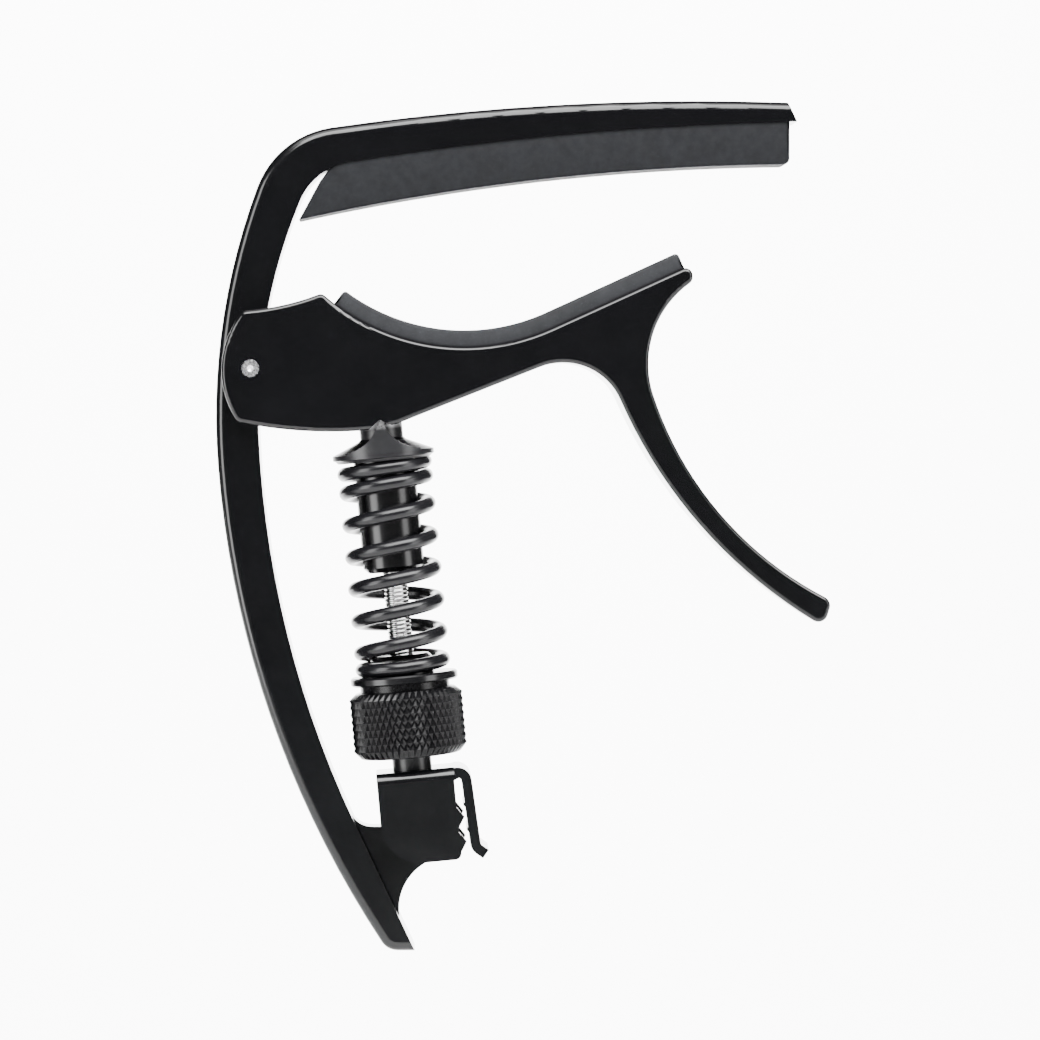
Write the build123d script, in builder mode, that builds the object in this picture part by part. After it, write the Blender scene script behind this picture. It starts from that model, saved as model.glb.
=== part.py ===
"""Guitar capo with a trigger handle, sprung by an adjustable coil-spring strut.

Row frame: +Z up, X along the string pad, Y across the capo. The capo is
symmetric about the XZ plane. The origin is the middle of the string pad's
contact face, the line that presses on the strings.

Side outlines are drawn in the plane `side`, whose own origin is the jaw pivot.
The spring strut is drawn in the plane `strut_side`, whose own origin is the
rocker pin and whose second axis runs up the strut.
"""

from math import asin, cos, radians, sin, sqrt
import os

from build123d import *

os.makedirs("parts", exist_ok=True)

# ---------------------------------------------------------------- driving sizes (mm)

# String pad: a curved rubber strip under the arm
pad_length = 60.0
pad_depth = 8.6
pad_start_x = 5.9            # low left corner, from the jaw pivot
pad_end_slant = 2.6          # the left end leans right by this much towards the arm
string_radius = 290.0        # radius of the contact face, for a 12 inch fingerboard
string_crest = (68.5, 25.0)  # highest point of that arc
pad_corner_r = 0.6
pad_left_r = 0.2
pad_left_drop = 1.6          # top left corner, below the armpit

# Frame: arm, spine and foot web, one casting
frame_depth = 9.0
arm_overhang = 0.9           # the arm reaches past the pad
nose_slant = 1.1             # the nose leans back by this much
arm_top_radius = 313.5
arm_top_crest = (55.2, 32.75)
arm_under_radius = 394.0
arm_under_crest = (75.0, 30.3)
shoulder_x = 3.45            # outer corner between arm and spine, before rounding
shoulder_r = 11.5
armpit_x = 7.9               # inner corner between arm and spine, before rounding
armpit_r = 8.0
spine_upper_radius = 79.6
spine_waist = (-4.07, -11.9)
spine_inner_radius = 67.0
spine_inner_waist = (0.95, -8.3)
spine_root = (12.6, -55.6)   # the inner arc ends here and runs on straight
heel_z = -71.4
heel_out_x = 16.6
heel_out_r = 2.4
frame_outer_round = 1.1
pivot_boss_r = 2.9
web_depth = 4.0
web_top_z = -56.3
web_nose_r = 2.4
web_arc_r = 6.5
web_tail_z = -67.9
web_arc_shift = (1.9, -10.1)   # centre of the hollow under the web, from its top right corner
web_root_inset = 0.6
web_root_run = 2.8           # the top edge starts to rise this far before the spine
web_root_rise = 1.3
web_bury = 2.0               # the web is drawn into the spine by this much

# Jaw: two cheeks that straddle the spine, saddle and trigger handle, one casting
cheek = 2.25
shim = 0.2
shim_d = 4.6
side_gap = 0.05
saddle_low = (26.0, 2.6)
saddle_radius = 26.1
saddle_slope = 24.5          # degrees, the straight run up to the tip
jaw_tip_x = 53.9
peak_x = 8.7
cheek_top_left = (-0.9, 7.0)
cheek_top_mid = (4.2, 7.75)
cheek_left_radius = 11.3
cheek_low_left = (-1.6, -6.5)
belly_mid = (7.0, -7.65)
belly_end = (14.9, -7.45)
belly_slope = 21.6           # degrees, the underside right of the strut
belly_turn_x = 18.0
crook_centre = (38.1, -6.9)
crook_radius = 7.6
handle_back_centre = (99.8, 20.3)
throat_centre = (60.6, 0.55)
throat_radius = 12.1
handle_front_centre = (90.0, 10.3)
handle_reach = 71.0
handle_end_slant = 1.0
cheek_r = 1.2
peak_r = 0.8
tip_r = 0.9
handle_end_r = 1.2
belly_r = 2.0
jaw_round = 0.5
stop_x = 2.7                 # the bridge starts here, right of the spine
bridge_low_left = (2.45, 3.8)    # underside of the bridge that joins the two cheeks
bridge_low_right = (19.5, -1.2)
slot_end = (21.0, -2.5)
slot_over = 14.0             # the slot is cut out past the casting by this much
neck_pad_thickness = 2.05
neck_pad_depth = 12.2
neck_pad_end_x = 52.9
neck_pad_inset = 4.3         # degrees of the saddle arc between its peak and the pad
neck_pad_r = 0.4

# Pivot pin
pin_d = 2.26
pin_chamfer = 0.12
pin_dimple_d = 0.8
pin_dimple = 0.3
running_gap = 0.04

# Strut: from the knife edge in the jaw down to the rocker pin in the web
knife_edge = (15.8, -6.6)
rocker = (20.25, -54.9)
knife_r = 0.3
notch = (
    (-0.3, 0.16), (0.3, 0.16), (1.3, -0.27), (3.2, -0.38), (3.8, -2.5), (-3.4, -2.5), (-1.45, -0.95),
)
ear_half = 4.6               # half width of an ear where it meets the flange
ear_drop = 3.45
ear_waist = (1.6, 2.1)      # side of an ear: half width and drop below the knife edge
ear_inset = 0.35             # the ears end this far inside the cheeks' outer faces
ear_proud = 0.15             # the ears stand past the flange's edge by this much
ear_bury = 1.2               # each ear starts this far inside the boss
seat_rim_drop = 3.7          # knife edge to the top of the flange rim
seat_under_drop = 4.7        # knife edge to the flange underside
seat_flange_d = 12.5
seat_boss_d = 5.3
seat_boss_rise = 1.6
seat_step = 0.3              # small steps and chamfers of the upper seat
seat_chamfer = 0.2           # chamfers of the lower seat's flange
boss_chamfer = 0.5
seat_neck_drop = 2.25
tube_d = 7.5
tube_bore = 4.4
tube_drop = 18.4
tube_socket = 0.9
tube_chamfer = 0.6
rod_d = 3.0
rod_drop = 12.0
rod_chamfer = 0.4
lower_boss_d = 7.5
lower_boss_drop = 28.7
lower_flange_drop = 31.1
lower_flange = 1.05
lower_flange_d = 13.2
lower_bore = 3.2
washer_d = 11.0
nut_drop = 33.0
nut_length = 8.2
nut_d = 14.0
nut_end_d = 12.0
nut_chamfer = 0.9
nut_low_chamfer = 1.1
insert_d = 6.6
insert_length = 4.4
neck_d = 4.8
neck_clear = 0.3
neck_bury = 1.0
spring_wire = 1.8
spring_d = 11.7
spring_pitch = 3.96
spring_gap = 0.03

# Foot fork, rocker pin and pick clip
leg_depth = 1.85
leg_gap = 0.1
foot_width = 6.0
fork_clear = 0.3             # web nose to the fork's roof
rocker_pin_d = 2.2
clip_drop = 42.9             # knife edge to the clip's top plate
sheet = 0.95
clip_gap = 0.05
clip_left = -4.5
clip_right = 4.95
clip_bottom = -5.65
clip_corner_r = 4.8
clip_bend_r = 1.2
clip_tail_r = 0.8
flap_sheet = 1.25            # the flap is ribbed, so it is thicker than the sheet
flap_top_x = 7.05
flap_low = (7.5, -4.35)
flap_lip = (8.0, -5.3)
flap_root = 2.0              # the flap is drawn from this far inside the top plate
flap_bend_r = 1.1            # along the middle of the flap's thickness
plate_overhang = 1.4         # the cheeks' top corner stops short of the flap by this much
plate_corner = (0.3, 0.6)    # slant under that corner
tooth = 0.85
tooth_heights = (-3.55, -0.5)
tooth_above = 1.25           # a tooth's slopes start and end this far from its tip
tooth_below = 1.2
tooth_foot = 0.1
rib_r = 0.28
rib_lift = 1.5               # each rib sits above its tooth, so that a pick is bent round it
over = 10.0                  # cutting bodies reach at least this far past the piece

# ---------------------------------------------------------------- reference geometry


def crest_arc_z(x, crest, radius):
    """Height of an arc that bulges up to crest."""
    return crest[1] - radius + sqrt(radius**2 - (x - crest[0]) ** 2)


def circle_z(x, centre, radius, sign):
    """Height of a circle at x, on its upper (+1) or lower (-1) half."""
    return centre[1] + sign * sqrt(radius**2 - (x - centre[0]) ** 2)


def tangent_point(centre, radius, other, sign):
    """Point of a circle on the line to another centre: towards it (+1) or away (-1)."""
    dx = other[0] - centre[0]
    dz = other[1] - centre[1]
    gap = sqrt(dx**2 + dz**2)
    return (centre[0] + sign * radius * dx / gap, centre[1] + sign * radius * dz / gap)


def distance(a, b):
    return sqrt((a[0] - b[0]) ** 2 + (a[1] - b[1]) ** 2)


def nearest_corner(sketch, point):
    return sketch.vertices().sort_by_distance(point)[0]


pad_mid_x = pad_start_x + pad_length / 2
pad_mid_z = crest_arc_z(pad_mid_x, string_crest, string_radius)
pivot = (-pad_mid_x, -pad_mid_z)
side = Plane(origin=(pivot[0], 0, pivot[1]), x_dir=(1, 0, 0), z_dir=(0, -1, 0))

strut_length = distance(knife_edge, rocker)
strut_tilt = asin((rocker[0] - knife_edge[0]) / strut_length)
strut_right = (cos(strut_tilt), 0, sin(strut_tilt))
strut_up = (-sin(strut_tilt), 0, cos(strut_tilt))
strut_origin = (pivot[0] + rocker[0], 0, pivot[1] + rocker[1])
strut_side = Plane(origin=strut_origin, x_dir=strut_right, z_dir=(0, -1, 0))
strut_base = Plane(origin=strut_origin, x_dir=strut_right, z_dir=strut_up)
strut_axis = Axis(strut_origin, strut_up)

slot = frame_depth + 2 * (shim + side_gap)
jaw_depth = slot + 2 * cheek

# Heights up the strut, from the rocker pin
seat_under = strut_length - seat_under_drop
seat_rim = strut_length - seat_rim_drop
seat_neck = strut_length - seat_neck_drop
tube_end = strut_length - tube_drop
rod_end = strut_length - rod_drop
lower_boss_top = strut_length - lower_boss_drop
lower_flange_top = strut_length - lower_flange_drop
lower_flange_under = lower_flange_top - lower_flange
nut_top = strut_length - nut_drop
nut_bottom = nut_top - nut_length
clip_top = strut_length - clip_drop


def turned(profile):
    """A closed (radius, height) polyline turned about the strut axis."""
    with BuildPart() as turning:
        with BuildSketch(strut_side):
            with BuildLine():
                Polyline(*profile, close=True)
            make_face()
        revolve(axis=strut_axis)
    return turning.part


# ---------------------------------------------------------------- frame

arm_end_x = pad_start_x + pad_length + arm_overhang
nose_top_x = arm_end_x - nose_slant
nose_top = (nose_top_x, crest_arc_z(nose_top_x, arm_top_crest, arm_top_radius))
nose_low = (arm_end_x, crest_arc_z(arm_end_x, arm_under_crest, arm_under_radius))
shoulder = (shoulder_x, crest_arc_z(shoulder_x, arm_top_crest, arm_top_radius))
armpit = (armpit_x, crest_arc_z(armpit_x, arm_under_crest, arm_under_radius))
arm_middle_x = (armpit_x + arm_end_x) / 2
arm_middle = (arm_middle_x, crest_arc_z(arm_middle_x, arm_under_crest, arm_under_radius))

with BuildPart() as frame:
    with BuildSketch(side) as hook:
        with BuildLine():
            ThreePointArc(shoulder, arm_top_crest, nose_top)
            Line(nose_top, nose_low)
            ThreePointArc(nose_low, arm_middle, armpit)
            inner_upper = RadiusArc(armpit, spine_inner_waist, -spine_inner_radius)
            inner_lower = TangentArc(
                spine_inner_waist, spine_root, tangent=inner_upper % 1
            )
            run = (heel_z - spine_root[1]) / (inner_lower % 1).Y
            heel_in = (spine_root[0] + run * (inner_lower % 1).X, heel_z)
            Line(spine_root, heel_in)
            Line(heel_in, (heel_out_x, heel_z))
            outer_upper = RadiusArc(shoulder, spine_waist, -spine_upper_radius)
            TangentArc(spine_waist, (heel_out_x, heel_z), tangent=outer_upper % 1)
        make_face()
        fillet(nearest_corner(hook, shoulder), shoulder_r)
        fillet(nearest_corner(hook, armpit), armpit_r)
        fillet(nearest_corner(hook, (heel_out_x, heel_z)), heel_out_r)
    extrude(amount=frame_depth / 2, both=True)
    rims = frame.faces().filter_by(Axis.Y).edges()
    waist = Vector(pivot[0] + spine_waist[0], 0, pivot[1] + spine_waist[1] - shoulder_r)
    fillet(rims.sort_by_distance(waist)[0:2], frame_outer_round)
    with BuildSketch(side):
        Circle(pivot_boss_r)
    extrude(amount=frame_depth / 2, both=True)
    with BuildSketch(side) as web:
        nose_right = rocker[0] + web_nose_r
        nose_left = rocker[0] - web_nose_r
        arc_centre = (nose_right + web_arc_shift[0], web_top_z + web_arc_shift[1])
        arc_start = (nose_right, circle_z(nose_right, arc_centre, web_arc_r, 1))
        tail_x = arc_centre[0] - sqrt(web_arc_r**2 - (web_tail_z - arc_centre[1]) ** 2)
        root = (spine_root[0] - web_root_inset, spine_root[1] + web_root_rise)
        rise_start = (root[0] + web_root_run, web_top_z)
        with BuildLine():
            Polyline((nose_left, rocker[1]), (nose_left, web_top_z), rise_start)
            TangentArc(rise_start, root, tangent=(-1, 0))
            Polyline(root, (root[0] - web_bury, root[1]), (tail_x - web_bury, web_tail_z),
                     (tail_x, web_tail_z))
            arc_mid = (arc_centre[0] - web_arc_r * cos(radians(40)),
                       arc_centre[1] + web_arc_r * sin(radians(40)))
            ThreePointArc((tail_x, web_tail_z), arc_mid, arc_start)
            Line(arc_start, (nose_right, rocker[1]))
            ThreePointArc((nose_right, rocker[1]), (rocker[0], rocker[1] + web_nose_r),
                          (nose_left, rocker[1]))
        make_face()
    extrude(amount=web_depth / 2, both=True)
    with BuildSketch(side):
        Circle(pin_d / 2 + running_gap)
        with Locations(rocker):
            Circle(rocker_pin_d / 2)
    extrude(amount=frame_depth, both=True, mode=Mode.SUBTRACT)

# ---------------------------------------------------------------- string pad

with BuildPart() as string_pad:
    with BuildSketch(side) as strip:
        pad_end_x = pad_start_x + pad_length
        low_left = (pad_start_x, crest_arc_z(pad_start_x, string_crest, string_radius))
        low_right = (pad_end_x, crest_arc_z(pad_end_x, string_crest, string_radius))
        top_left = (pad_start_x + pad_end_slant, armpit[1] - pad_left_drop)
        with BuildLine():
            ThreePointArc(low_left, (pad_mid_x, pad_mid_z), low_right)
            # The upper side is drawn into the arm and trimmed to its underside
            Polyline(low_right, (pad_end_x, arm_under_crest[1] + 1),
                     (top_left[0] + 2.5, armpit[1] + 1.5), top_left, low_left)
        make_face()
        add(hook.sketch_local, mode=Mode.SUBTRACT)
        fillet(nearest_corner(strip, low_right), pad_corner_r)
        fillet(nearest_corner(strip, low_left), pad_left_r)
    extrude(amount=pad_depth / 2, both=True)

# ---------------------------------------------------------------- jaw

saddle_centre = (saddle_low[0], saddle_low[1] + saddle_radius)
slope = radians(saddle_slope)


def saddle_point(angle, lift):
    """Point above the saddle arc, at an angle from its lowest point."""
    return (saddle_centre[0] + (saddle_radius - lift) * sin(angle),
            saddle_centre[1] - (saddle_radius - lift) * cos(angle))


def ramp_point(x, lift):
    """Point above the straight run up to the jaw tip."""
    start = saddle_point(slope, lift)
    return (x, start[1] + (x - start[0]) * sin(slope) / cos(slope))


peak_angle = -asin((saddle_low[0] - peak_x) / saddle_radius)
peak = saddle_point(peak_angle, 0)
tip_top = ramp_point(jaw_tip_x, 0)
tip_low = (jaw_tip_x, circle_z(jaw_tip_x, throat_centre, throat_radius, 1))
throat_end = tangent_point(throat_centre, throat_radius, handle_front_centre, -1)
handle_front_radius = distance(throat_end, handle_front_centre)
handle_end = (handle_reach, circle_z(handle_reach, handle_front_centre, handle_front_radius, -1))
crook_end = tangent_point(crook_centre, crook_radius, handle_back_centre, 1)
handle_back_radius = distance(crook_end, handle_back_centre)
back_x = handle_reach - handle_end_slant
handle_end_low = (back_x, circle_z(back_x, handle_back_centre, handle_back_radius, -1))
incline = radians(belly_slope)
crook_start = (crook_centre[0] - crook_radius * sin(incline),
               crook_centre[1] + crook_radius * cos(incline))
turn_z = crook_start[1] - (crook_start[0] - belly_turn_x) * sin(incline) / cos(incline)
belly_turn = (belly_turn_x, turn_z)

with BuildPart() as jaw:
    with BuildSketch(side) as jaw_outline:
        with BuildLine():
            ThreePointArc(cheek_top_left, cheek_top_mid, peak)
            ThreePointArc(peak, saddle_point((peak_angle + slope) / 2, 0), saddle_point(slope, 0))
            Line(saddle_point(slope, 0), tip_top)
            Line(tip_top, tip_low)
            mid_z = (tip_low[1] + throat_end[1]) / 2
            mid_x = throat_centre[0] - sqrt(throat_radius**2 - (mid_z - throat_centre[1]) ** 2)
            throat = ThreePointArc(tip_low, (mid_x, mid_z), throat_end)
            TangentArc(throat_end, handle_end, tangent=throat % 1)
            Line(handle_end, handle_end_low)
            crook = TangentArc(crook_start, crook_end, tangent=(cos(incline), sin(incline)))
            TangentArc(crook_end, handle_end_low, tangent=crook % 1)
            Line(crook_start, belly_turn)
            Line(belly_turn, belly_end)
            ThreePointArc(belly_end, belly_mid, cheek_low_left)
            RadiusArc(cheek_low_left, cheek_top_left, cheek_left_radius)
        make_face()
        for point, radius in (
            (cheek_top_left, cheek_r), (peak, peak_r), (tip_top, tip_r), (tip_low, tip_r),
            (handle_end, handle_end_r), (handle_end_low, handle_end_r),
            (belly_turn, belly_r), (cheek_low_left, cheek_r),
        ):
            fillet(nearest_corner(jaw_outline, point), radius)
    extrude(amount=jaw_depth / 2, both=True)
    fillet(jaw.faces().filter_by(Axis.Y).edges(), jaw_round)
    # The clevis slot: open to the spine, roofed by the bridge under the saddle
    with BuildSketch(side):
        with BuildLine():
            Polyline(
                (-slot_over, slot_over), (stop_x, slot_over), bridge_low_left, bridge_low_right,
                slot_end, (slot_end[0], -slot_over), (-slot_over, -slot_over), close=True,
            )
        make_face()
    extrude(amount=slot / 2, both=True, mode=Mode.SUBTRACT)
    # Knife-edge notches in both cheeks
    with BuildSketch(side):
        with Locations(knife_edge):
            Circle(knife_r + running_gap)
            Polygon(*notch, align=None)
    extrude(amount=jaw_depth, both=True, mode=Mode.SUBTRACT)
    with BuildSketch(side):
        Circle(pin_d / 2)
    extrude(amount=jaw_depth, both=True, mode=Mode.SUBTRACT)

# ---------------------------------------------------------------- neck pad

pad_start_angle = peak_angle + radians(neck_pad_inset)
with BuildPart() as neck_pad:
    with BuildSketch(side) as strip:
        with BuildLine():
            mid_angle = (pad_start_angle + slope) / 2
            thick = neck_pad_thickness
            end_top_x = neck_pad_end_x - thick * sin(slope)
            ThreePointArc(saddle_point(pad_start_angle, 0), saddle_point(mid_angle, 0),
                          saddle_point(slope, 0))
            Line(saddle_point(slope, 0), ramp_point(neck_pad_end_x, 0))
            Line(ramp_point(neck_pad_end_x, 0), ramp_point(end_top_x, thick))
            Line(ramp_point(end_top_x, thick), saddle_point(slope, thick))
            ThreePointArc(saddle_point(slope, thick), saddle_point(mid_angle, thick),
                          saddle_point(pad_start_angle, thick))
            Line(saddle_point(pad_start_angle, thick), saddle_point(pad_start_angle, 0))
        make_face()
        fillet(nearest_corner(strip, ramp_point(end_top_x, thick)), neck_pad_r)
        fillet(nearest_corner(strip, saddle_point(pad_start_angle, thick)), neck_pad_r)
    extrude(amount=neck_pad_depth / 2, both=True)

# ---------------------------------------------------------------- pivot pin and shims

with BuildPart() as pivot_pin:
    with BuildSketch(Plane(origin=side.origin, x_dir=(1, 0, 0), z_dir=(0, 0, 1))):
        with BuildLine():
            pin_end = jaw_depth / 2
            Polyline(
                (0, -pin_end + pin_dimple), (pin_dimple_d / 2, -pin_end),
                (pin_d / 2 - pin_chamfer, -pin_end), (pin_d / 2, -pin_end + pin_chamfer),
                (pin_d / 2, pin_end - pin_chamfer), (pin_d / 2 - pin_chamfer, pin_end),
                (pin_dimple_d / 2, pin_end), (0, pin_end - pin_dimple), close=True,
            )
        make_face()
    revolve(axis=Axis(side.origin, (0, 1, 0)))

with BuildPart() as pivot_shims:
    for sign in (1, -1):
        with BuildSketch(side.offset(sign * (slot / 2))):
            Circle(shim_d / 2)
            Circle(pin_d / 2 + running_gap, mode=Mode.SUBTRACT)
        extrude(amount=-sign * shim)

# ---------------------------------------------------------------- upper seat and guide tube

socket_top = seat_under + tube_socket
flange_r = seat_flange_d / 2
boss_r = seat_boss_d / 2
boss_top = strut_length + seat_boss_rise
with BuildPart() as upper_seat:
    add(turned([
        (0, socket_top), (tube_d / 2, socket_top),
        (tube_d / 2, seat_under), (flange_r - 2 * seat_step, seat_under),
        (flange_r - seat_step, seat_under + seat_step),
        (flange_r, seat_under + 1.5 * seat_step), (flange_r, seat_rim),
        (boss_r + seat_step, seat_neck), (boss_r, seat_neck + seat_step),
        (boss_r, boss_top - seat_step), (boss_r - seat_step, boss_top), (0, boss_top),
    ]))
    # Front and back ears, each ending in a rounded knife edge
    for sign in (1, -1):
        inner = boss_r - ear_bury
        with BuildSketch(strut_side.offset(sign * inner)) as ear:
            with BuildLine():
                tip_l = (-knife_r, strut_length)
                tip_r = (knife_r, strut_length)
                waist_z = strut_length - ear_waist[1]
                foot_z = strut_length - ear_drop
                ThreePointArc(tip_l, (0, strut_length + knife_r), tip_r)
                ThreePointArc(tip_r, (ear_waist[0], waist_z), (ear_half, foot_z))
                ThreePointArc(tip_l, (-ear_waist[0], waist_z), (-ear_half, foot_z))
                Polyline((ear_half, foot_z), (ear_half, socket_top),
                         (-ear_half, socket_top), (-ear_half, foot_z))
            make_face()
        extrude(amount=sign * (jaw_depth / 2 - ear_inset - inner))
    # The ears follow the flange's round edge
    with BuildSketch(strut_base.offset(seat_under)):
        Circle(seat_flange_d)
        Circle(flange_r + ear_proud, mode=Mode.SUBTRACT)
    extrude(amount=strut_length, mode=Mode.SUBTRACT)

with BuildPart() as guide_tube:
    with BuildSketch(strut_base.offset(tube_end)):
        Circle(tube_d / 2)
        Circle(tube_bore / 2, mode=Mode.SUBTRACT)
    extrude(amount=socket_top - tube_end)
    low_rim = guide_tube.edges().filter_by(GeomType.CIRCLE).sort_by(strut_axis)[0:2]
    chamfer(low_rim.sort_by(SortBy.RADIUS)[-1], tube_chamfer)

# ---------------------------------------------------------------- spring

spring_r = (spring_d - spring_wire) / 2
coil_rise = seat_under - lower_flange_top - spring_wire - 2 * spring_gap
coil_base = strut_base.offset(lower_flange_top + spring_wire / 2 + spring_gap)
with BuildPart() as spring:
    with BuildLine():
        coil = Helix(pitch=spring_pitch, height=coil_rise, radius=spring_r,
                     center=coil_base.origin, direction=coil_base.z_dir)
    with BuildSketch(Plane(origin=coil @ 0, z_dir=coil % 0)):
        Circle(spring_wire / 2)
    sweep(is_frenet=True)

# ---------------------------------------------------------------- rod, lower seat, washer

with BuildPart() as threaded_rod:
    with BuildSketch(strut_base.offset(nut_bottom - neck_bury)):
        Circle(rod_d / 2)
    extrude(amount=rod_end - nut_bottom + neck_bury)
    chamfer(threaded_rod.edges().sort_by(strut_axis)[-1], rod_chamfer)

bore_r = lower_bore / 2
lower_r = lower_flange_d / 2
lower_boss_r = lower_boss_d / 2
with BuildPart() as lower_seat:
    add(turned([
        (bore_r, lower_flange_under), (lower_r - seat_chamfer, lower_flange_under),
        (lower_r, lower_flange_under + seat_chamfer), (lower_r, lower_flange_top - seat_chamfer),
        (lower_r - seat_chamfer, lower_flange_top), (lower_boss_r, lower_flange_top),
        (lower_boss_r, lower_boss_top - boss_chamfer),
        (lower_boss_r - boss_chamfer, lower_boss_top), (bore_r, lower_boss_top),
    ]))

with BuildPart() as thrust_washer:
    add(turned([
        (bore_r, nut_top), (washer_d / 2, nut_top),
        (washer_d / 2, lower_flange_under), (bore_r, lower_flange_under),
    ]))

# ---------------------------------------------------------------- knurled nut and insert

nut_bore_r = rod_d / 2 + running_gap
collar_r = neck_d / 2 + neck_clear
collar_top = nut_bottom + nut_length - insert_length
with BuildPart() as knurled_nut:
    add(turned([
        (insert_d / 2, nut_top), (nut_end_d / 2, nut_top),
        (nut_d / 2, nut_top - nut_chamfer), (nut_d / 2, nut_bottom + nut_low_chamfer),
        (nut_end_d / 2, nut_bottom), (collar_r, nut_bottom), (collar_r, collar_top),
        (insert_d / 2, collar_top),
    ]))

with BuildPart() as nut_insert:
    add(turned([
        (nut_bore_r, nut_top), (insert_d / 2, nut_top),
        (insert_d / 2, collar_top), (nut_bore_r, collar_top),
    ]))

# ---------------------------------------------------------------- foot fork and rocker pin

leg_in = web_depth / 2 + leg_gap
leg_out = leg_in + leg_depth
plate_under = clip_top - sheet
fork_roof = web_nose_r + fork_clear
with BuildPart() as strut_foot:
    with BuildSketch(strut_side) as fork:
        with BuildLine():
            Polyline((-foot_width / 2, 0), (-foot_width / 2, plate_under),
                     (foot_width / 2, plate_under), (foot_width / 2, 0))
            ThreePointArc((foot_width / 2, 0), (0, -foot_width / 2), (-foot_width / 2, 0))
        make_face()
    extrude(amount=leg_out, both=True)
    with BuildSketch(strut_side):
        with Locations((0, fork_roof - over)):
            Rectangle(foot_width + over, 2 * over)
    extrude(amount=leg_in, both=True, mode=Mode.SUBTRACT)
    with BuildSketch(strut_base.offset(plate_under)):
        Circle(neck_d / 2)
    extrude(amount=nut_bottom + neck_bury - plate_under)
    with BuildSketch(strut_base.offset(nut_bottom - neck_bury)):
        Circle(rod_d / 2)
    extrude(amount=2 * neck_bury, mode=Mode.SUBTRACT)
    with BuildSketch(strut_side):
        Circle(rocker_pin_d / 2 + running_gap)
    extrude(amount=leg_out, both=True, mode=Mode.SUBTRACT)

with BuildPart() as rocker_pin:
    with BuildSketch(strut_side):
        Circle(rocker_pin_d / 2)
    extrude(amount=leg_out, both=True)

# ---------------------------------------------------------------- pick clip

clip_in = leg_out + clip_gap
clip_out = clip_in + sheet
with BuildPart() as pick_clip:
    with BuildSketch(strut_side) as plate:
        with BuildLine():
            corner_x = flap_top_x - plate_overhang
            points = [(clip_left, clip_top), (corner_x, clip_top),
                      (corner_x, plate_under - plate_corner[0]),
                      (clip_right, plate_under - plate_corner[1])]
            for height in sorted(tooth_heights, reverse=True):
                points += [(clip_right, height + tooth_above), (clip_right + tooth, height),
                           (clip_right + tooth_foot, height - tooth_below)]
            points += [(clip_right, clip_bottom), (clip_left, clip_bottom)]
            Polyline(*points, close=True)
        make_face()
        fillet(nearest_corner(plate, (clip_left, clip_bottom)), clip_corner_r)
        fillet(nearest_corner(plate, (clip_right, clip_bottom)), clip_tail_r)
    extrude(amount=clip_out, both=True)
    fillet(pick_clip.faces().sort_by(strut_axis)[-1].edges().filter_by(
        lambda e: abs(abs(e.center().Y) - clip_out) < 0.01), clip_bend_r)
    with BuildSketch(strut_side):
        with Locations((0, plate_under - over)):
            Rectangle(4 * over, 2 * over)
    extrude(amount=clip_in, both=True, mode=Mode.SUBTRACT)
    # The sprung flap: bent down from the top plate, with an outward lip
    with BuildSketch(strut_side) as flap:
        with BuildLine():
            FilletPolyline((flap_top_x - flap_root, clip_top - flap_sheet / 2),
                           (flap_top_x - flap_sheet / 2, clip_top - flap_sheet / 2),
                           (flap_low[0] - flap_sheet / 2, flap_low[1]),
                           flap_lip, radius=flap_bend_r)
        trace(line_width=flap_sheet)
        for height in tooth_heights:
            lean = (height - clip_top) / (flap_low[1] - clip_top)
            with Locations((flap_top_x - flap_sheet + lean * (flap_low[0] - flap_top_x),
                            height + rib_lift)):
                Circle(rib_r)
    extrude(amount=clip_out, both=True)
    with BuildSketch(strut_base.offset(plate_under)):
        Circle(neck_d / 2)
    extrude(amount=sheet, mode=Mode.SUBTRACT)

# ---------------------------------------------------------------- write the parts

pieces = {
    "frame": frame,
    "string_pad": string_pad,
    "jaw": jaw,
    "neck_pad": neck_pad,
    "pivot_pin": pivot_pin,
    "pivot_shims": pivot_shims,
    "upper_seat": upper_seat,
    "guide_tube": guide_tube,
    "spring": spring,
    "threaded_rod": threaded_rod,
    "lower_seat": lower_seat,
    "thrust_washer": thrust_washer,
    "knurled_nut": knurled_nut,
    "nut_insert": nut_insert,
    "strut_foot": strut_foot,
    "rocker_pin": rocker_pin,
    "pick_clip": pick_clip,
}
for name, piece in pieces.items():
    piece.part.label = name
    export_step(piece.part, f"parts/{name}.step")
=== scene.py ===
"""Looks of a trigger capo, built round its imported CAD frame."""
import math

import bmesh
import bpy
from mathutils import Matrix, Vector


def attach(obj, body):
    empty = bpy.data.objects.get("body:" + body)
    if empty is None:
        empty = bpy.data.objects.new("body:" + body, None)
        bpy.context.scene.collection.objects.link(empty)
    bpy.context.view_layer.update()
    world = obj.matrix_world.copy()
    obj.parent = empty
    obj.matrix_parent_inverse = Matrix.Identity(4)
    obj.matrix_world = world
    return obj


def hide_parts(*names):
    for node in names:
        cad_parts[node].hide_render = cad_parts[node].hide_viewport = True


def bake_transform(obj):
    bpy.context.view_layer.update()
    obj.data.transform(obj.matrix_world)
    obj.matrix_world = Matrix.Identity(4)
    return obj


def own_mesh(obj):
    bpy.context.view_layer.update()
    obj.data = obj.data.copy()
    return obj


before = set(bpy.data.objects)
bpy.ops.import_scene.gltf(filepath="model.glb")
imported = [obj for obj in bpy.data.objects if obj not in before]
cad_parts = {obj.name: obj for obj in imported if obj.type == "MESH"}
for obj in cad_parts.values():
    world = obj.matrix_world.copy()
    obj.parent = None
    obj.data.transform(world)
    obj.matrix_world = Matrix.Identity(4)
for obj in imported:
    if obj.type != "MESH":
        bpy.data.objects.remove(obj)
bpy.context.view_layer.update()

MM = 0.001

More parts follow.
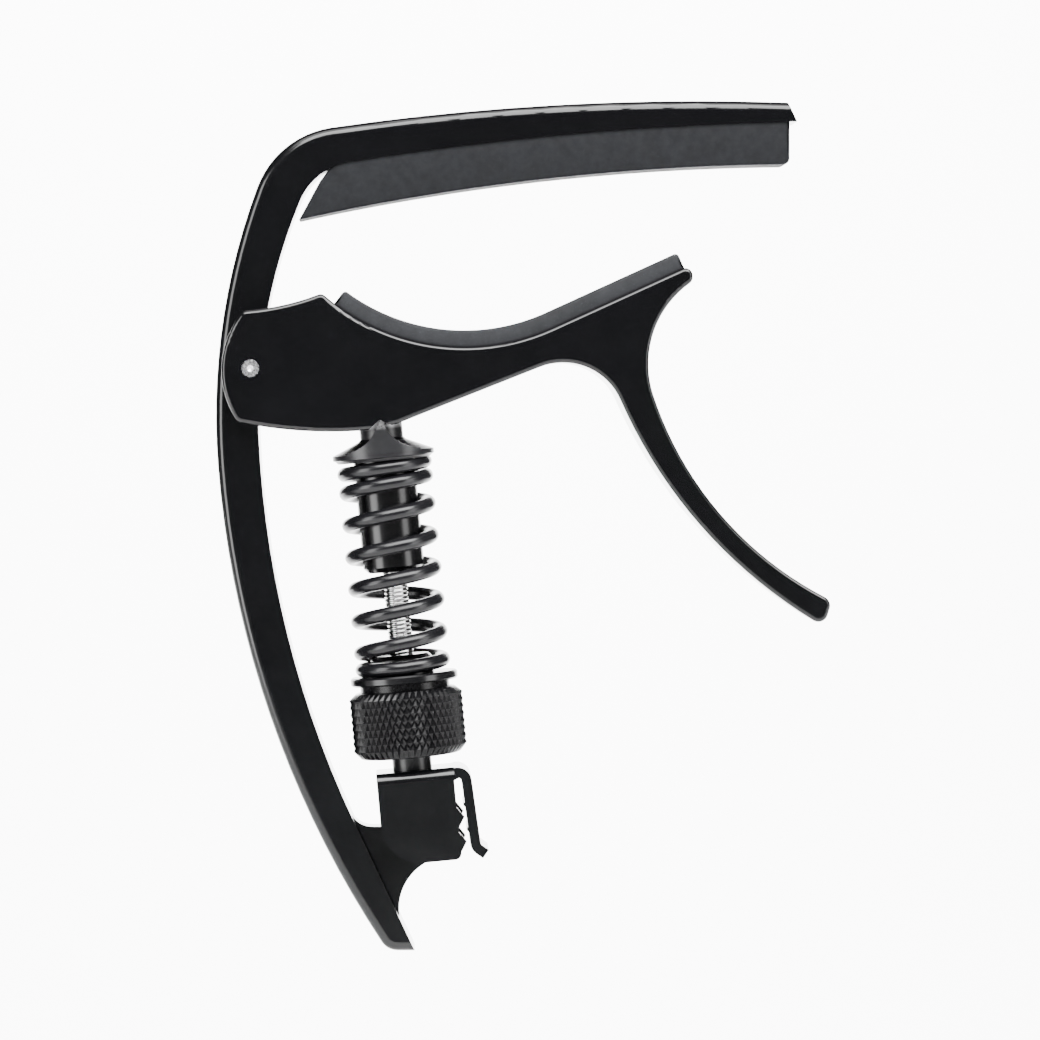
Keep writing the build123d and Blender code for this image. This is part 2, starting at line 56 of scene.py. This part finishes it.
# ------------------------------------------------------------ reference points (mm, row frame)

PIVOT = Vector((-35.9, 0.0, -23.162))
ROCKER = Vector((-15.65, 0.0, -78.062))
KNIFE = Vector((-20.1, 0.0, -29.762))
UP = (KNIFE - ROCKER).normalized()
RIGHT = Vector((UP.z, 0.0, -UP.x))
BACK = Vector((0.0, 1.0, 0.0))

STRING_CREST, STRING_RADIUS = (68.5, 25.0), 290.0
ARM_CREST, ARM_RADIUS = (75.0, 30.3), 394.0
PAD_START, PAD_LENGTH, PAD_DEPTH = 5.9, 60.0, 8.6
SADDLE_CENTRE, SADDLE_RADIUS, SADDLE_SLOPE = (26.0, 28.7), 26.1, math.radians(24.5)
NECK_START = math.radians(4.3) - math.asin((26.0 - 8.7) / SADDLE_RADIUS)
NECK_END, NECK_THICK, NECK_DEPTH = 52.9, 2.05, 12.2

SPRING_R, WIRE_R, PITCH = 5.02, 0.87, 3.96
SPRING_LOW, SPRING_HIGH = 17.4 + 0.93, 43.8 - 0.93
GROUND_LOW, GROUND_HIGH = 17.42, 43.78
NUT_LOW, NUT_HIGH, NUT_R, NUT_END_R, NUT_CHAMFER = 7.3, 15.5, 7.0, 6.0, 0.95
ROD_LOW, ROD_HIGH, ROD_R, THREAD_PITCH, THREAD_DEPTH = 6.3, 36.5, 1.5, 0.5, 0.12


def local(x, z, y=0.0):
    """Point given from the jaw pivot, in metres."""
    return Vector((PIVOT.x + x, y, PIVOT.z + z)) * MM


def strut(radius, angle, height):
    """Point round the strut, in metres; angle 0 is to the right and 90 degrees to the back."""
    p = ROCKER + UP * height + (RIGHT * math.cos(angle) + BACK * math.sin(angle)) * radius
    return p * MM


def crest_z(x, crest, radius):
    return crest[1] - radius + math.sqrt(radius ** 2 - (x - crest[0]) ** 2)


# ------------------------------------------------------------ materials


class Nodes:
    """A small helper that builds one node material."""

    def __init__(self, name):
        self.material = bpy.data.materials.new(name)
        self.material.use_nodes = True
        self.tree = self.material.node_tree
        self.shader = self.tree.nodes["Principled BSDF"]
        self.place = self.add("ShaderNodeTexCoord").outputs["Object"]

    def add(self, kind, **inputs):
        node = self.tree.nodes.new(kind)
        for key, value in inputs.items():
            node.inputs[key.replace("_", " ")].default_value = value
        return node

    def link(self, a, b):
        self.tree.links.new(a, b)

    def noise(self, scale, detail=3.0, rough=0.5):
        node = self.add("ShaderNodeTexNoise", Scale=scale, Detail=detail, Roughness=rough)
        self.link(self.place, node.inputs["Vector"])
        return node.outputs["Fac"]

    def ranged(self, value, low, high, to_low=0.0, to_high=1.0):
        node = self.add("ShaderNodeMapRange")
        node.inputs["From Min"].default_value = low
        node.inputs["From Max"].default_value = high
        node.inputs["To Min"].default_value = to_low
        node.inputs["To Max"].default_value = to_high
        self.link(value, node.inputs["Value"])
        return node.outputs["Result"]

    def maths(self, operation, a, b):
        node = self.add("ShaderNodeMath")
        node.operation = operation
        for socket, value in zip(node.inputs, (a, b)):
            if hasattr(value, "default_value"):
                self.link(value, socket)
            else:
                socket.default_value = value
        return node.outputs[0]

    def mix(self, factor, a, b):
        node = self.tree.nodes.new("ShaderNodeMix")
        node.data_type = "RGBA"
        self.link(factor, node.inputs["Factor"])
        colour_a, colour_b = [s for s in node.inputs if s.type == "RGBA"]
        for socket, value in ((colour_a, a), (colour_b, b)):
            if hasattr(value, "default_value"):
                self.link(value, socket)
            else:
                socket.default_value = (*value, 1.0)
        return [s for s in node.outputs if s.type == "RGBA"][0]

    def edge(self, low, high):
        """1 along convex edges."""
        return self.ranged(self.add("ShaderNodeNewGeometry").outputs["Pointiness"], low, high)

    def bump(self, height, strength, distance):
        node = self.add("ShaderNodeBump", Strength=strength, Distance=distance * MM)
        self.link(height, node.inputs["Height"])
        previous = self.shader.inputs["Normal"].links
        if previous:
            self.link(previous[0].from_socket, node.inputs["Normal"])
        self.link(node.outputs["Normal"], self.shader.inputs["Normal"])

    def set(self, **values):
        for key, value in values.items():
            self.shader.inputs[key.replace("_", " ")].default_value = value


def painted(name, dark, light, rough, grain=900.0, wear=None):
    """Gloss or satin black finish over metal, with faint orange peel."""
    n = Nodes(name)
    shade = n.mix(n.ranged(n.noise(grain * 0.12, 3.0), 0.3, 0.7), dark, light)
    if wear:
        worn = n.maths("MULTIPLY", n.edge(*wear), n.ranged(n.noise(2600.0, 4.0), 0.42, 0.62))
        shade = n.mix(worn, shade, (0.035, 0.035, 0.038))
    n.link(shade, n.shader.inputs["Base Color"])
    n.link(n.ranged(n.noise(grain * 0.3, 2.0), 0.3, 0.7, rough * 0.92, rough * 1.1),
           n.shader.inputs["Roughness"])
    n.bump(n.noise(grain, 2.0), 0.1, 0.012)
    n.bump(n.noise(grain * 7, 2.0), 0.1, 0.002)
    return n


def rubber(name, dark, light, rough):
    """Moulded rubber: mottled, with a fine dusty grain."""
    n = Nodes(name)
    blotch = n.mix(n.ranged(n.noise(420.0, 5.0, 0.6), 0.35, 0.68), dark, light)
    specks = n.ranged(n.noise(5200.0, 2.0), 0.62, 0.74, 0.0, 0.35)
    pale = tuple(min(1.0, c * 1.9) for c in light)
    n.link(n.mix(specks, blotch, pale), n.shader.inputs["Base Color"])
    n.link(n.ranged(n.noise(900.0, 3.0), 0.3, 0.7, rough - 0.08, rough + 0.08),
           n.shader.inputs["Roughness"])
    n.bump(n.noise(1500.0, 4.0), 0.25, 0.06)
    n.bump(n.noise(7000.0, 2.0), 0.2, 0.02)
    n.set(Specular_IOR_Level=0.2, Sheen_Weight=0.02, Sheen_Roughness=0.5)
    return n


def metal(name, dark, light, rough, grain=3000.0):
    """Bare or plated metal, slightly mottled."""
    n = Nodes(name)
    marks = n.noise(grain, 4.0, 0.6)
    n.link(n.mix(n.ranged(marks, 0.35, 0.65), dark, light), n.shader.inputs["Base Color"])
    n.link(n.ranged(marks, 0.3, 0.7, rough * 0.75, rough * 1.4), n.shader.inputs["Roughness"])
    n.bump(marks, 0.1, 0.001)
    n.set(Metallic=1.0)
    return n


cast_black = painted("cast_black", (0.0014, 0.0015, 0.0019), (0.0022, 0.0023, 0.0029), 0.16)
string_rubber = rubber("string_rubber", (0.0032, 0.0036, 0.0047), (0.0050, 0.0056, 0.0072), 0.74)
neck_rubber = rubber("neck_rubber", (0.0128, 0.0133, 0.0150), (0.0180, 0.0187, 0.0211), 0.68)
bright_steel = metal("bright_steel", (0.78, 0.78, 0.79), (0.90, 0.90, 0.91), 0.26)
zinc_steel = metal("zinc_steel", (0.58, 0.58, 0.58), (0.72, 0.72, 0.71), 0.20, 900.0)
brass = metal("brass", (0.58, 0.42, 0.16), (0.78, 0.60, 0.27), 0.28)
tube_black = painted("tube_black", (0.002, 0.002, 0.0025), (0.0035, 0.0035, 0.004), 0.22)
spring_black = painted("spring_black", (0.004, 0.004, 0.005), (0.007, 0.007, 0.008), 0.24,
                       1600.0)
spring_black.set(Specular_IOR_Level=0.4)
nut_black = painted("nut_black", (0.0018, 0.0018, 0.0022), (0.0036, 0.0036, 0.0041), 0.22,
                    1400.0, (0.60, 0.75))
nut_black.set(Specular_IOR_Level=0.22)
clip_black = painted("clip_black", (0.0020, 0.0021, 0.0025), (0.0032, 0.0033, 0.0038), 0.17, 1200.0)

nylon = Nodes("nylon")
nylon.link(nylon.mix(nylon.noise(1200.0), (0.70, 0.69, 0.64), (0.80, 0.79, 0.75)),
           nylon.shader.inputs["Base Color"])
nylon.bump(nylon.noise(2500.0), 0.1, 0.02)
nylon.set(Roughness=0.45, Subsurface_Weight=0.05)

# Painted highlight: the seat's ears turn pale bare metal in a band just below their tips
seat_black = painted("seat_black", (0.0070, 0.0070, 0.0080), (0.0110, 0.0110, 0.0124), 0.32, 1400.0)
along = seat_black.add("ShaderNodeVectorMath")
along.operation = "DOT_PRODUCT"
along.inputs[1].default_value = UP
seat_black.link(seat_black.place, along.inputs[0])
tip = UP.dot(KNIFE) * MM
painted_tip_highlight = seat_black.maths(
    "MULTIPLY", seat_black.ranged(along.outputs["Value"], tip - 0.9 * MM, tip - 0.1 * MM),
    seat_black.ranged(seat_black.noise(1800.0, 4.0), 0.35, 0.5))
shade = seat_black.shader.inputs["Base Color"].links[0].from_socket
# The pale metallic band is a painted highlight at the ears' tips
seat_black.link(seat_black.mix(painted_tip_highlight, shade, (0.55, 0.55, 0.56)),
                seat_black.shader.inputs["Base Color"])
seat_black.link(painted_tip_highlight, seat_black.shader.inputs["Metallic"])

FINISH = {
    "frame": cast_black, "jaw": cast_black, "pivot_pin": bright_steel, "pivot_shims": nylon,
    "upper_seat": seat_black, "guide_tube": tube_black, "lower_seat": tube_black,
    "thrust_washer": nut_black, "nut_insert": brass, "strut_foot": seat_black,
    "rocker_pin": bright_steel, "pick_clip": clip_black,
}
for node_name, finish in FINISH.items():
    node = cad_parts[node_name]
    node.data.materials.clear()
    node.data.materials.append(finish.material)

# ------------------------------------------------------------ mesh helpers


def make(name, points, faces, body, finish, smooth=True, replaces=None):
    mesh = bpy.data.meshes.new(name)
    mesh.from_pydata([tuple(p) for p in points], [], faces)
    mesh.validate()
    obj = bpy.data.objects.new(name, mesh)
    bpy.context.scene.collection.objects.link(obj)
    for polygon in mesh.polygons:
        polygon.use_smooth = smooth
    mesh.materials.append(finish.material)
    if body:
        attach(obj, body)
    if replaces:
        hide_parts(replaces)
    return obj


def outward(obj):
    """Turns every face's normal outwards."""
    fix = bmesh.new()
    fix.from_mesh(obj.data)
    bmesh.ops.recalc_face_normals(fix, faces=fix.faces)
    fix.to_mesh(obj.data)
    fix.free()


def crease(obj, degrees):
    """Keeps edges sharper than this crisp under smooth shading."""
    obj.data.set_sharp_from_angle(angle=math.radians(degrees))


def inset(outline, amount):
    """The outline moved inwards; it runs anticlockwise."""
    out = []
    count = len(outline)
    for i, here in enumerate(outline):
        along_in = (here - outline[i - 1]).normalized()
        along_out = (outline[(i + 1) % count] - here).normalized()
        normal = Vector((-(along_in.y + along_out.y), along_in.x + along_out.x))
        length = normal.length
        out.append(here + normal * (2 * amount / (length * length)) if length > 1e-6 else here)
    return out


def strip(name, lower, upper, depth, rim, body, finish, replaces):
    """A flat strip between two edges of equal count, with rounded rims on both sides."""
    outline = lower + upper[::-1]
    count = len(outline)
    levels = [(depth / 2 - rim + rim * math.sin(math.radians(a)),
               rim * (1 - math.cos(math.radians(a)))) for a in (0, 22.5, 45, 67.5, 90)]
    stations = [(-y, cut) for y, cut in reversed(levels)]
    spans = 8
    first = levels[0][0]
    stations += [(-first + 2 * first * k / spans, 0.0) for k in range(1, spans)]
    stations += levels
    points = []
    for y, cut in stations:
        ring = inset(outline, cut) if cut > 1e-6 else outline
        points += [local(p.x, p.y, y) for p in ring]
    faces = []
    for s in range(len(stations) - 1):
        for i in range(count):
            j = (i + 1) % count
            faces.append((s * count + i, s * count + j, (s + 1) * count + j, (s + 1) * count + i))
    last = (len(stations) - 1) * count
    for k in range(len(lower) - 1):
        quad = (k, k + 1, count - 2 - k, count - 1 - k)
        faces.append(quad)
        faces.append(tuple(last + i for i in quad)[::-1])
    obj = make(name, points, faces, body, finish, True, replaces)
    outward(obj)
    crease(obj, 40)
    return obj


def tube(name, rings, body, finish, replaces=None):
    """Rings of equal length joined into a closed skin, capped at both ends."""
    count = len(rings[0])
    points = [p for ring in rings for p in ring]
    faces = []
    for s in range(len(rings) - 1):
        for i in range(count):
            j = (i + 1) % count
            faces.append((s * count + i, s * count + j, (s + 1) * count + j, (s + 1) * count + i))
    faces.append(tuple(range(count))[::-1])
    faces.append(tuple((len(rings) - 1) * count + i for i in range(count)))
    obj = make(name, points, faces, body, finish, True, replaces)
    outward(obj)
    return obj


# ------------------------------------------------------------ rubber pads


def saddle(angle, lift):
    """Point above the saddle's arc, from the jaw pivot."""
    return Vector((SADDLE_CENTRE[0] + (SADDLE_RADIUS - lift) * math.sin(angle),
                   SADDLE_CENTRE[1] - (SADDLE_RADIUS - lift) * math.cos(angle)))


steps = 60                       # stations along either pad
pad_rim = 0.3                    # rounding of the pads' long edges
string_corner, neck_corner = 0.75, 0.5
sunk = 0.25                      # how far the string pad reaches into the arm
flare = 11.0                     # where the string pad's slanted left end meets the arm
left_end = [Vector((8.5, 22.95)), Vector((9.6, 24.35)), Vector((flare, 26.04))]
last_in_slant = len(left_end) - 1
right_x = PAD_START + PAD_LENGTH
square_x = right_x - string_corner
corner_steps = 8


def arm_z(x):
    return crest_z(x, ARM_CREST, ARM_RADIUS) + sunk


lower, upper = [], []
for k in range(steps + 1):
    x = PAD_START + (PAD_LENGTH - string_corner) * k / steps
    lower.append(Vector((x, crest_z(x, STRING_CREST, STRING_RADIUS))))
    if k <= last_in_slant:
        upper.append(left_end[k])
    else:
        x = flare + (square_x - flare) * (k - last_in_slant) / (steps - last_in_slant)
        upper.append(Vector((x, arm_z(x))))
for k in range(1, corner_steps + 1):
    a = math.radians(90 * k / corner_steps)
    x = square_x + string_corner * math.sin(a)
    lift = string_corner * (1 - math.cos(a))
    lower.append(Vector((x, crest_z(x, STRING_CREST, STRING_RADIUS) + lift)))
    upper.append(Vector((x, arm_z(x))))
strip("string_pad_rubber", lower, upper, PAD_DEPTH, pad_rim, "frame", string_rubber,
      "string_pad")

arc = SADDLE_RADIUS * (SADDLE_SLOPE - NECK_START)
run = (NECK_END - saddle(SADDLE_SLOPE, 0).x) / math.cos(SADDLE_SLOPE)
whole = arc + run


def on_saddle(length, lift):
    """Point above the saddle, at a length along its arc and then up the straight ramp."""
    if length < arc:
        return saddle(NECK_START + length / SADDLE_RADIUS, lift)
    ahead = Vector((math.cos(SADDLE_SLOPE), math.sin(SADDLE_SLOPE)))
    return saddle(SADDLE_SLOPE, lift) + ahead * (length - arc)


bends = [(neck_corner * (1 - math.cos(math.radians(a))), neck_corner * (1 - math.sin(math.radians(a))))
         for a in (0, 15, 30, 45, 60, 75, 90)]
between = whole - 2 * neck_corner
glue = 0.1                       # how far the neck pad reaches into the saddle
columns = list(bends)
columns += [(neck_corner + between * k / steps, 0.0) for k in range(1, steps)]
columns += [(whole - at, drop) for at, drop in reversed(bends)]
lower = [on_saddle(at, -glue) for at, drop in columns]
upper = [on_saddle(at, NECK_THICK - drop) for at, drop in columns]
strip("neck_pad_rubber", lower, upper, NECK_DEPTH, pad_rim, "jaw", neck_rubber,
      "neck_pad")

# ------------------------------------------------------------ threaded rod

sides = 28
rings_per_thread = 6
end_chamfer = 0.4
levels = int((ROD_HIGH - ROD_LOW) / THREAD_PITCH * rings_per_thread)
rings = []
for k in range(levels + 1):
    height = ROD_LOW + (ROD_HIGH - ROD_LOW) * k / levels
    to_end = ROD_HIGH - height
    ring = []
    for i in range(sides):
        phase = (height / THREAD_PITCH - i / sides) % 1.0
        tooth = abs(2 * phase - 1)
        radius = ROD_R - THREAD_DEPTH * min(1.0, max(0.0, 1.25 * tooth - 0.12))
        radius = min(radius, ROD_R - end_chamfer + to_end)
        ring.append(strut(radius, 2 * math.pi * i / sides, height))
    rings.append(ring)
tube("rod_thread", rings, "strut", zinc_steel, "threaded_rod")

# ------------------------------------------------------------ knurled nut

around = 52                      # diamonds round the nut
rows = 7                         # half diamonds along it
knurl_lift = 0.1
knurl_low, knurl_high = NUT_LOW + NUT_CHAMFER + knurl_lift, NUT_HIGH - NUT_CHAMFER + knurl_lift
valley = NUT_R - 0.30
bore_r, pocket_r, pocket_floor = 2.7, 3.3, 11.1
half_turn = 2 * around
points = []
faces = []


def ring_of(radius, height):
    """Adds a ring of points and returns the number of its first."""
    start = len(points)
    points.extend(strut(radius, 2 * math.pi * i / half_turn, height) for i in range(half_turn))
    return start


def band(a, b):
    """Joins two rings with a band of faces."""
    for i in range(half_turn):
        j = (i + 1) % half_turn
        faces.append((a + i, a + j, b + j, b + i))


grid = []
for row in range(rows + 1):
    height = knurl_low + (knurl_high - knurl_low) * row / rows
    grid.append(len(points))
    for i in range(half_turn):
        crest = (i + row) % 2 == 1
        points.append(strut(NUT_R if crest else valley, 2 * math.pi * i / half_turn, height))
for row in range(rows):
    for i in range(half_turn):
        j = (i + 1) % half_turn
        low_i, low_j = grid[row] + i, grid[row] + j
        high_i, high_j = grid[row + 1] + i, grid[row + 1] + j
        if (i + row) % 2 == 1:
            faces += [(low_i, low_j, high_i), (low_j, high_j, high_i)]
        else:
            faces += [(low_i, low_j, high_j), (low_i, high_j, high_i)]
# Radius and height, from the knurl inwards at either end
profile_low = [(NUT_END_R + 0.15, NUT_LOW + 0.08), (NUT_END_R - 0.1, NUT_LOW), (bore_r, NUT_LOW),
               (bore_r, pocket_floor), (pocket_r, pocket_floor)]
profile_high = [(NUT_END_R + 0.1, NUT_HIGH - 0.08), (NUT_END_R - 0.15, NUT_HIGH),
                (pocket_r, NUT_HIGH)]
last = grid[0]
for radius, height in profile_low:
    now = ring_of(radius, height)
    band(now, last)
    last = now
inner_low = last
last = grid[rows]
for radius, height in profile_high:
    now = ring_of(radius, height)
    band(last, now)
    last = now
band(last, inner_low)
nut = make("nut_knurl", points, faces, "knob", nut_black, False, "knurled_nut")
outward(nut)

# ------------------------------------------------------------ spring, in two pieces
# The upper piece shortens as the jaw opens; the lower one follows the adjustable seat


# The pitch is even between the easing turns, closes up to the flat turns and is steady past them
LOW_FLAT, LOW_EASE, HIGH_EASE, HIGH_FLAT = -0.25, 0.62, 5.45, 6.05
LOW_CURVE, HIGH_CURVE = 1.31, 1.8
LOW_PITCH, HIGH_PITCH = 0.15, 1.8


def rise(turn):
    """Height of the wire's centre, with a closed coil at either end."""
    if turn > HIGH_FLAT:
        return rise(HIGH_FLAT) + HIGH_PITCH * (turn - HIGH_FLAT)
    if turn < LOW_FLAT:
        return rise(LOW_FLAT) + LOW_PITCH * (turn - LOW_FLAT)
    beyond = max(0.0, turn - HIGH_EASE)
    before = max(0.0, LOW_EASE - turn)
    return SPRING_LOW + PITCH * turn - HIGH_CURVE * beyond ** 2 + LOW_CURVE * before ** 2


def wire_centre(turn):
    return strut(SPRING_R, 2 * math.pi * turn, rise(turn))


def wire_rings(turn_from, turn_to):
    """Rings of the spring's wire between two turns, counted from its lower end."""
    per_turn, wire_sides, ahead_by = 48, 16, 0.002
    count = round((turn_to - turn_from) * per_turn)
    out = []
    for k in range(count + 1):
        turn = turn_from + (turn_to - turn_from) * k / count
        here = wire_centre(turn)
        ahead = (wire_centre(turn + ahead_by) - wire_centre(turn - ahead_by)).normalized()
        away = (here - (ROCKER + UP * rise(turn)) * MM).normalized()
        away = (away - ahead * away.dot(ahead)).normalized()
        third = ahead.cross(away)
        ring = []
        for i in range(wire_sides):
            a = 2 * math.pi * i / wire_sides
            p = here + (away * math.cos(a) + third * math.sin(a)) * WIRE_R * MM
            # The end coils are ground flat against the seats
            level = (p / MM - ROCKER).dot(UP)
            p += UP * (min(max(level, GROUND_LOW), GROUND_HIGH) - level) * MM
            ring.append(p)
        out.append(ring)
    return out


first_turn, split_turn, last_turn = -0.6, 1.25, 7.0
low_spring = tube("spring_low", wire_rings(first_turn, split_turn), None, spring_black,
                  "spring")
high_spring = tube("spring_high", wire_rings(split_turn, last_turn), "strut", spring_black)
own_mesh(high_spring)
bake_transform(low_spring)

# ------------------------------------------------------------ studio

# Depth, height and half width along the paper, in metres
floor_z, wall_top = -0.25, 0.42
floor_half, wall_half = 3.0, 0.75
bend_start, bend_radius, bend_steps = 0.9, 0.35, 12
profile = [(-3.0, floor_z, floor_half), (0.6, floor_z, floor_half), (bend_start, floor_z, wall_half)]
for k in range(1, bend_steps + 1):
    a = math.radians(90 * k / bend_steps)
    profile.append((bend_start + bend_radius * math.sin(a),
                    floor_z + bend_radius * (1 - math.cos(a)), wall_half))
profile.append((bend_start + bend_radius, wall_top, wall_half))
points = [(side * width, y, z) for side in (-1, 1) for y, z, width in profile]
count = len(profile)
faces = [(i, i + count, i + count + 1, i + 1) for i in range(count - 1)]
floor_mesh = bpy.data.meshes.new("floor")
floor_mesh.from_pydata(points, [], faces)
for polygon in floor_mesh.polygons:
    polygon.use_smooth = True
floor = bpy.data.objects.new("floor", floor_mesh)
bpy.context.scene.collection.objects.link(floor)
paper = bpy.data.materials.new("paper")
paper.use_nodes = True
paper_shader = paper.node_tree.nodes["Principled BSDF"]
paper_shader.inputs["Base Color"].default_value = (0.92, 0.92, 0.92, 1.0)
paper_shader.inputs["Roughness"].default_value = 0.9
paper_shader.inputs["Specular IOR Level"].default_value = 0.0
floor_mesh.materials.append(paper)

target = Vector((-2.9, 0.0, -41.8)) * MM


def soft_light(name, place, size, power, aim=target):
    data = bpy.data.lights.new(name, "AREA")
    data.shape = "RECTANGLE"
    data.size, data.size_y = size
    data.energy = power
    light = bpy.data.objects.new(name, data)
    bpy.context.scene.collection.objects.link(light)
    light.location = place
    light.rotation_euler = (Vector(aim) - Vector(place)).to_track_quat("-Z", "Y").to_euler()


soft_light("key", (0.12, -0.42, 0.50), (0.9, 0.45), 20.0)
soft_light("left", (-0.60, -0.42, -0.02), (0.35, 0.7), 6.5)
soft_light("right", (0.60, -0.35, -0.05), (0.3, 0.7), 3.4)
# The wash lights only the cove behind: it faces away from the object
soft_light("wash", (0.0, 0.55, 0.45), (1.2, 0.25), 85.0, (0.0, 1.2, -0.05))
soft_light("floor_wash", (0.0, -0.3, 1.1), (1.5, 0.8), 16.0, (0.0, 0.3, -0.25))

world = bpy.data.worlds.new("studio")
bpy.context.scene.world = world
world.use_nodes = True
background = world.node_tree.nodes["Background"]
background.inputs["Color"].default_value = (1.0, 1.0, 1.0, 1.0)
background.inputs["Strength"].default_value = 0.12

distance, height, yaw = 0.60, -0.0270, math.radians(1.5)
camera_data = bpy.data.cameras.new("camera")
camera_data.sensor_width = 36.0
camera_data.lens = 168.5
camera_data.clip_start = 0.01
camera = bpy.data.objects.new("camera", camera_data)
bpy.context.scene.collection.objects.link(camera)
camera.location = (target.x - distance * math.sin(yaw), -distance * math.cos(yaw), height)
camera.rotation_euler = (target - camera.location).to_track_quat("-Z", "Y").to_euler()
bpy.context.scene.camera = camera
